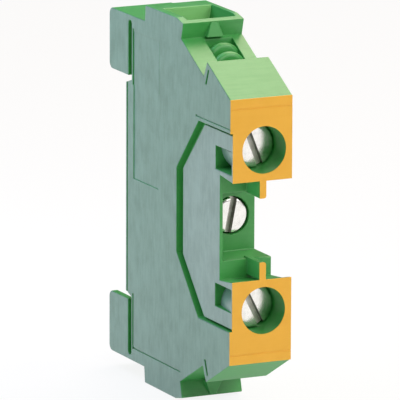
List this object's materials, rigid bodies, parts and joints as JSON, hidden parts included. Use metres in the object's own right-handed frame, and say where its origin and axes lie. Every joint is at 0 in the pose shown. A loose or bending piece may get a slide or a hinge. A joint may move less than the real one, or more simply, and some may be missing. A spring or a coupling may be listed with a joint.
{
  "type": "earth terminal",
  "caption": "Slim rail-mounted earth terminal: green moulded housing with yellow front faces, screw clamps for conductors and a middle screw that grips a 35 mm rail.",
  "frame": {"origin": "middle of the rail's front plane, at half the terminal's width", "axes": "+X along the rail, +Z across the rail towards the upper clamp, the front faces look towards -Y"},
  "size_m": [0.0104, 0.0442, 0.0606],
  "materials": {
    "green_plastic": "green polyamide moulding with a fine eggshell sheen",
    "yellow_stamping": "warm yellow stamped colour, slightly satin",
    "plated_screws": "bright zinc-plated steel with turning marks",
    "plated_steel": "zinc-plated pressed steel",
    "tinned_brass": "tinned brass strip"
  },
  "bodies": {
    "terminal_body": {"housing": "green_plastic", "upper_marking": "yellow_stamping", "lower_marking": "yellow_stamping", "upper_clamp_yoke": "plated_steel", "lower_clamp_yoke": "plated_steel", "rail_bracket": "tinned_brass"},
    "upper_guard_body": {"upper_wire_guard": "plated_steel"},
    "upper_screw_body": {"upper_clamp_screw": "plated_screws"},
    "lower_guard_body": {"lower_wire_guard": "plated_steel"},
    "lower_screw_body": {"lower_clamp_screw": "plated_screws"},
    "contact_body": {"contact_plate": "tinned_brass"},
    "rail_screw_body": {"rail_screw": "plated_screws"}
  },
  "joints": [
    {"name": "upper_guard_travel", "type": "slide", "parent": "terminal_body", "child": "upper_guard_body", "axis": [0, 1, 0], "range_m": [-0.002, 0.0045]},
    {"name": "upper_screw_turn", "type": "hinge", "parent": "upper_guard_body", "child": "upper_screw_body", "pos_m": [0.0005, -0.03, 0.0126], "axis": [0, 1, 0], "range_deg": [-1029, 2315]},
    {"name": "lower_guard_travel", "type": "slide", "parent": "terminal_body", "child": "lower_guard_body", "axis": [0, 1, 0], "range_m": [-0.002, 0.0045]},
    {"name": "lower_screw_turn", "type": "hinge", "parent": "lower_guard_body", "child": "lower_screw_body", "pos_m": [0.0005, -0.03, -0.0126], "axis": [0, 1, 0], "range_deg": [-1029, 2315]},
    {"name": "contact_travel", "type": "slide", "parent": "terminal_body", "child": "contact_body", "axis": [0, 1, 0], "range_m": [-0.001, 0.0015]},
    {"name": "rail_screw_turn", "type": "hinge", "parent": "contact_body", "child": "rail_screw_body", "pos_m": [0, -0.025, 0.0003], "axis": [0, 1, 0], "range_deg": [-601, 901]}
  ],
  "couplings": [
    {"joint": "upper_screw_turn", "follows": "upper_guard_travel", "rad_per_m": 8976},
    {"joint": "lower_screw_turn", "follows": "lower_guard_travel", "rad_per_m": 8976},
    {"joint": "rail_screw_turn", "follows": "contact_travel", "rad_per_m": 10472}
  ]
}
